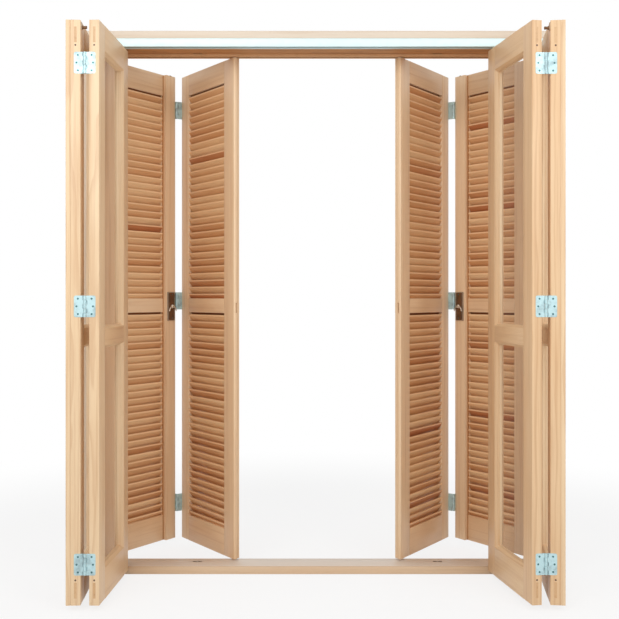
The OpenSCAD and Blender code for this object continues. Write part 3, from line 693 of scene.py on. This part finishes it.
def beads(leaf):
    """Glazing beads, bevelled like the mouldings on the other face."""
    maker = Maker(f"{leaf.name}_glazing_beads", leaf.name, LEAF_PINE, [f"{leaf.name}_beads"])
    seeds = [random.random() for _ in range(3)]
    tones = [random.random() for _ in range(3)]
    for upright in (True, False):
        mouldings(leaf, maker, 1, upright, seeds, tones)
    maker.done()


def panes(leaf):
    maker = Maker(f"{leaf.name}_glass_sheets", leaf.name, GLASS, [f"{leaf.name}_panes"])
    left, right = leaf.across()
    for low, high in leaf.bands():
        maker.box((left - PANE_EDGE, -PANE_T / 2, low - PANE_EDGE),
                  (right + PANE_EDGE, PANE_T / 2, high + PANE_EDGE), leaf.place,
                  arris=0.0006, steps=1)
    maker.done()


def clip(outline, low, high):
    """Cuts an outline to the heights between low and high."""
    for limit, keep_above in ((low, True), (high, False)):
        cut = []
        for (a, b), (c, d) in zip(outline, outline[1:] + outline[:1]):
            inside = b >= limit if keep_above else b <= limit
            next_inside = d >= limit if keep_above else d <= limit
            if inside:
                cut.append((a, b))
            if inside != next_inside:
                share = (limit - b) / (d - b)
                cut.append((a + (c - a) * share, limit))
        outline = cut
    return outline


def slats(leaf):
    """Slats with upright noses, high on the hinge side, the end ones cut to the rails. Only the
    foot of each field's uppermost slat shows, painted dark as a shadow line under the rail."""
    maker = Maker(f"{leaf.name}_louvre_slats", leaf.name, SLAT_PINE, [f"{leaf.name}_slats"])
    half = leaf.t / 2 - SLAT_INSET
    sin, cos = math.sin(SLAT_ANGLE), math.cos(SLAT_ANGLE)
    length = (2 * half - SLAT_T * sin) / cos
    height = length * sin + SLAT_T * cos
    nose, drop = half - SLAT_NOSE, SLAT_NOSE * sin / cos
    for low, high in leaf.bands():
        pitch = (high - low) / SLATS
        start = low - (height - pitch) / 2 + SLAT_RISE
        for i in range(-1, SLATS):
            z = start + i * pitch
            outline = [(SLAT_T * sin - half, z), (nose, z + length * sin - drop),
                       (nose, z + height), (half - SLAT_T * sin, z + height),
                       (-nose, z + SLAT_T * cos + drop), (-nose, z)]
            tone = min(SLAT_DARKEST, max(0.0, random.gauss(SLAT_TONE, SLAT_SPREAD)))
            if i in (-1, 0, SLATS - 1):
                outline = clip(outline, low, high)
            # The uppermost, cut slat gets the painted-shade tone.
            if i == SLATS - 1:
                tone = SLAT_RAIL_SHADE
            maker.prism(outline, 0, leaf.across(), leaf.place, arris=0.0006, steps=1, tone=tone)
    maker.done()


def turn_to(leaf, at, way):
    """A place whose Z looks along the leaf's X (way "x") or Y (way "y"), for screws and turned
    pieces."""
    if way == "x":
        turn = Matrix(((0, 0, 1, 0), (0, 1, 0, 0), (-1, 0, 0, 0), (0, 0, 0, 1)))
    else:
        turn = Matrix(((1, 0, 0, 0), (0, 0, 1, 0), (0, -1, 0, 0), (0, 0, 0, 1)))
    return leaf.place @ Matrix.Translation(at) @ turn


def screw(maker, place, radius=SCREW_R):
    """A countersunk head, flush, with a slightly raised middle."""
    maker.turned([(0, -0.0016), (radius * 0.45, -0.0016), (radius, -0.0002), (radius, 0),
                  (radius * 0.86, 0.00015), (0, 0.00015)], place, steps=24)


def joint_ends(leaf):
    """The ends of through tenons and dowels in a glazed leaf's folding edge."""
    tenons = Maker(f"{leaf.name}_tenon_ends", leaf.name, TENON_END)
    dowels = Maker(f"{leaf.name}_dowel_ends", leaf.name, DOWEL_END)
    for low in (leaf.foot + TENON_FOOT, leaf.top - TENON_HEAD - TENON_H):
        tenons.box((LEAF_W - END_DEEP, -TENON_T / 2, low),
                   (LEAF_W + END_PROUD, TENON_T / 2, low + TENON_H), leaf.place,
                   axis=0, arris=0.0004, steps=1)
    for z in (leaf.foot + BOTTOM_RAIL - DOWEL_BELOW, leaf.top - TOP_RAIL + DOWEL_ABOVE):
        dowels.turned(DOWEL, turn_to(leaf, (LEAF_W, 0, z), "x"), steps=20)
    tenons.done()
    dowels.done()


def quarter(x, z, radius, start):
    """A quarter round about (x, z), from start degrees on."""
    return [(x + radius * math.cos(a), z + radius * math.sin(a))
            for a in (math.radians(start + 90 * i / 5) for i in range(6))]


def hinge_outline(width, height, radius):
    """A plate with its two outer corners rounded, from its outer lower corner."""
    return [(width, 0), (width, height), *quarter(radius, height - radius, radius, 90),
            *quarter(radius, radius, radius, 180)]


def plate_outline(width, height, radius):
    """A plate with four rounded corners, about its middle."""
    x, z = width / 2 - radius, height / 2 - radius
    return [*quarter(x, z, radius, 0), *quarter(-x, z, radius, 90),
            *quarter(-x, -z, radius, 180), *quarter(x, -z, radius, 270)]


def hinge_levels(row, side):
    """Heights of a pair's three hinges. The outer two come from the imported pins."""
    low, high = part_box(f"{row}_{side}_hinge_pins")
    return low.z + HINGE_H / 2, HINGE_MIDDLE[row], high.z - HINGE_H / 2


def hinge_half(leaf):
    """Plates let into the leaf's edge, with knuckles, the pin on the hung side, and screws."""
    node = f"{leaf.row}_{leaf.side}_hinge_{'pins' if leaf.hung else 'plates'}"
    plates = Maker(f"{node}_zinc", leaf.name, ZINC, [node])
    screws = Maker(f"{node}_screws", leaf.name, SCREW)
    fold, out = LEAF_W + FOLD_GAP / 2, leaf.t / 2 + PIN_OUT[leaf.row]
    near = fold - PLATE_GAP / 2 - HINGE_T
    pin_place = leaf.place @ Matrix.Translation((fold, out, 0))
    plate = hinge_outline(HINGE_W - PLATE_SHORT, HINGE_H, PLATE_CORNER)
    step = HINGE_H / KNUCKLES
    for middle in hinge_levels(leaf.row, leaf.side):
        base = middle - HINGE_H / 2
        outline = [(out - HINGE_W + a, base + b) for a, b in plate]
        plates.prism(outline, 0, (near, near + HINGE_T), leaf.place, arris=0.0003, steps=1)
        for i in range(0 if leaf.hung else 1, KNUCKLES, 2):
            low = base + i * step + KNUCKLE_GAP / 2
            high = base + (i + 1) * step - KNUCKLE_GAP / 2
            r, edge = KNUCKLE_R, KNUCKLE_EDGE
            plates.turned([(0, low), (r - edge, low), (r, low + edge), (r, high - edge),
                           (r - edge, high), (0, high)], pin_place, steps=28)
            plates.box((near, out - 2 * r, low), (near + HINGE_T, out, high), leaf.place, arris=0)
        if leaf.hung:
            plates.turned([(0, base), (PIN_R, base), (PIN_R, base + HINGE_H), (0, base + HINGE_H)],
                          pin_place, steps=16)
        for up, aside in HINGE_SCREWS:
            at = (near + HINGE_T, out - SCREW_LINE + aside, middle + up)
            screw(screws, turn_to(leaf, at, "x"))
    plates.done()
    screws.done()


def bumper(leaf):
    """A turned knob on a small plate at a leaf's top, with a screw above it."""
    low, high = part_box(f"{leaf.side}_bumper")
    plate = Maker(f"{leaf.side}_turned_bumper", leaf.name, PLATE, [f"{leaf.side}_bumper"])
    face, middle = leaf.t / 2, LEAF_W - BUMPER_IN
    width, height = BUMPER_PLATE
    outline = [(middle - width / 2 + a, low.z + b) for a, b in hinge_outline(width, height, 0.003)]
    plate.prism(outline, 1, (face, face + BUMPER_T), leaf.place, arris=0.0004, steps=1)
    plate.done()
    knob = Maker(f"{leaf.side}_bumper_knob", leaf.name, BRONZE)
    screw_at = (middle, face + BUMPER_T, high.z - BUMPER_SCREW_IN)
    screw(knob, turn_to(leaf, screw_at, "y"), radius=BUMPER_SCREW_R)
    knob.turned(BUMPER_KNOB, turn_to(leaf, (middle, face, low.z + height / 3), "y"))
    knob.done()


def lock(leaf):
    """The lock on a hung shutter's strip: plate, cover and screws, the arched lever, and a guide
    ring where the upper rod leaves the strip."""
    side, lever = leaf.side, f"{leaf.side}_lock_lever"
    hub = LEAF_W - STRIP_W / 2, leaf.t / 2 + STRIP_T, LOCK_Z
    place, facing = leaf.place @ Matrix.Translation(hub), turn_to(leaf, hub, "y")
    plate = Maker(f"{side}_lock_plate", leaf.name, PLATE, [f"{side}_lock_case"])
    plate.prism(plate_outline(*LOCK_PLATE, 0.004), 1, (0, PLATE_T), place, arris=0.0005, steps=1)
    plate.done()
    cover = Maker(f"{side}_lock_cover", leaf.name, BRONZE)
    cover.prism(plate_outline(*LOCK_CASE, 0.003), 1, (PLATE_T, CASE_OUT), place, arris=0.0012)
    cover.turned(ROSE, facing @ Matrix.Translation((0, ROSE_DROP, CASE_OUT)), steps=24)
    rod_top = Matrix.Translation((hub[0], hub[1] - ROD_DEEP, leaf.top))
    cover.turned(ROD_GUIDE, leaf.place @ rod_top, steps=24)
    cover.done()
    screws = Maker(f"{side}_lock_screws", leaf.name, SCREW)
    reach = LOCK_CASE[1] / 2 - LOCK_SCREW_IN
    for down in (reach, -reach):
        screw(screws, facing @ Matrix.Translation((0, down, CASE_OUT)), radius=LOCK_SCREW_R)
    screws.done()
    handle = Maker(f"{side}_arched_lever", lever, NICKEL, [lever])
    out = CASE_OUT + LEVER_GAP
    handle.turned([(radius, out + height) for radius, height in LEVER_BOSS], facing, steps=36)
    arch = [Vector((ARCH_R * math.cos(a), 0, ARCH_R * (math.sin(a) - 1)))
            for a in (math.radians(2 + 176 * i / 28) for i in range(29))]
    handle.swept(arch, lambda share: ARCH_ENDS + ARCH_SWELL * math.sin(math.pi * share),
                 place @ Matrix.Translation((0, out + ARCH_OUT, 0)), sides=16)
    handle.done()


def frame_boards():
    """Jambs, head, soffit and sill, each from its own board."""
    for node, axis, wood in (("jamb_left", 2, FRAME_PINE), ("jamb_right", 2, FRAME_PINE),
                             ("head_board", 0, FRAME_PINE), ("soffit_board", 0, DARK_PINE),
                             ("sill", 0, SILL_PINE)):
        low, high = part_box(node)
        maker = Maker(f"{node}_timber", "frame", wood, [node])
        maker.box(low, high, WORLD, axis=axis, arris=FRAME_ARRIS)
        maker.done()


def tracks():
    """The two channels under the soffit, slotted below for the hanger pins."""
    for node, material in (("front_track", ALUMINIUM), ("back_track", TRACK_BROWN)):
        low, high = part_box(node)
        y0, y1, z0, z1 = low.y, high.y, low.z, high.z
        slot0, slot1 = (y0 + y1) / 2 - TRACK_SLOT / 2, (y0 + y1) / 2 + TRACK_SLOT / 2
        in0, in1, lip, roof = y0 + TRACK_WALL, y1 - TRACK_WALL, z0 + TRACK_WALL, z1 - TRACK_WALL
        outline = [(y0, z0), (slot0, z0), (slot0, lip), (in0, lip), (in0, roof), (in1, roof),
                   (in1, lip), (slot1, lip), (slot1, z0), (y1, z0), (y1, z1), (y0, z1)]
        maker = Maker(f"{node}_channel", "frame", material, [node])
        maker.prism(outline, 0, (low.x, high.x), WORLD, arris=TRACK_ARRIS)
        maker.done()


def finish_carried_nodes():
    """Pins, rods and runners keep their solids' shapes and get their own metal or nylon."""
    rods = [f"{side}_{end}_rod" for side in ("left", "right") for end in ("upper", "lower")]
    runners = [f"{row}_{side}_runner" for row in ("glass", "shutter") for side in ("left", "right")]
    for material, nodes in ((STEEL, ["top_pivots", "bottom_pivots", *rods]), (BRASS, ["rod_keeps"]),
                            (NYLON, runners)):
        for node in nodes:
            slots = frame["nodes"][node].data.materials
            slots.clear()
            slots.append(material)


def seen_directly(s):
    """1 for what the camera sees straight, in a reflection or through glass, 0 for light that
    bounces."""
    camera, glossy, through = (s.node("ShaderNodeLightPath", output=f"Is {ray} Ray")
                               for ray in ("Camera", "Glossy", "Transmission"))
    return camera.most(glossy).most(through)


def floor():
    """A plain pale floor that keeps the door's soft shadow and fades into the white backdrop."""
    bm = bmesh.new()
    level = CAD_BOX[0][2] - FLOOR_DROP
    for x, y in ((-1, -1), (1, -1), (1, 1), (-1, 1)):
        bm.verts.new((x * FLOOR_REACH, y * FLOOR_REACH, level))
    bm.faces.new(bm.verts)
    mesh = bpy.data.meshes.new("floor")
    bm.to_mesh(mesh)
    bm.free()
    obj = bpy.data.objects.new("floor", mesh)
    bpy.context.scene.collection.objects.link(obj)
    s = Shader("floor_paint", Roughness=0.9, Base_Color=(FLOOR_GREY, FLOOR_GREY, FLOOR_GREY, 1))
    x, y, _ = s.split(s.own_place())
    far = (x * x + y * y).root().between(*FLOOR_FADE)
    white = seen_directly(s) * (FLOOR_WHITE + far * (1 - FLOOR_WHITE))
    glow = s.node("ShaderNodeEmission", inputs={"Color": (1, 1, 1, 1), "Strength": 1.0})
    mixed = s.node("ShaderNodeMixShader", inputs={
        0: white, 1: Wire(s, s.bsdf.outputs[0]), 2: glow})
    s.link(mixed, s.tree.nodes["Material Output"].inputs["Surface"])
    mesh.materials.append(s.material)


def backdrop():
    """White to the eye, and a softer white as light on the door."""
    world = bpy.data.worlds.new("studio")
    bpy.context.scene.world = world
    world.use_nodes = True
    s = Nodes(world.node_tree)
    background = s.tree.nodes["Background"]
    background.inputs["Color"].default_value = (1, 1, 1, 1)
    s.link(seen_directly(s) * (1 - ROOM_LIGHT) + ROOM_LIGHT, background.inputs["Strength"])


def lamp(name, place, aim, size, power):
    """A square soft lamp that looks at aim."""
    data = bpy.data.lights.new(name, "AREA")
    data.shape, data.size, data.energy = "SQUARE", size, power
    obj = bpy.data.objects.new(name, data)
    obj.location = place
    obj.rotation_euler = (Vector(aim) - Vector(place)).to_track_quat("-Z", "Y").to_euler()
    bpy.context.scene.collection.objects.link(obj)


def camera():
    """Level, at the eye that the fit gave, with its centre shifted in the picture."""
    data = bpy.data.cameras.new("camera")
    data.sensor_width = SENSOR
    data.lens = SENSOR * FOCAL_PX / IMAGE
    data.shift_x = (IMAGE / 2 - CENTRE_PX[0]) / IMAGE
    data.shift_y = (CENTRE_PX[1] - IMAGE / 2) / IMAGE
    obj = bpy.data.objects.new("camera", data)
    obj.location = EYE
    obj.rotation_euler = (math.radians(90), 0, 0)
    bpy.context.scene.collection.objects.link(obj)
    bpy.context.scene.camera = obj


for row in ("glass", "shutter"):
    for side in ("left", "right"):
        for hung in (True, False):
            leaf = Leaf(row, side, hung)
            stiles(leaf)
            rails(leaf)
            hinge_half(leaf)
            if row == "glass":
                beads(leaf)
                panes(leaf)
                joint_ends(leaf)
                if hung:
                    bumper(leaf)
            else:
                slats(leaf)
                if hung:
                    lock(leaf)

frame_boards()
tracks()
finish_carried_nodes()

floor()
backdrop()
for name, settings in LAMPS.items():
    lamp(name, *settings)
camera()
bpy.context.scene.view_settings.view_transform = "Standard"
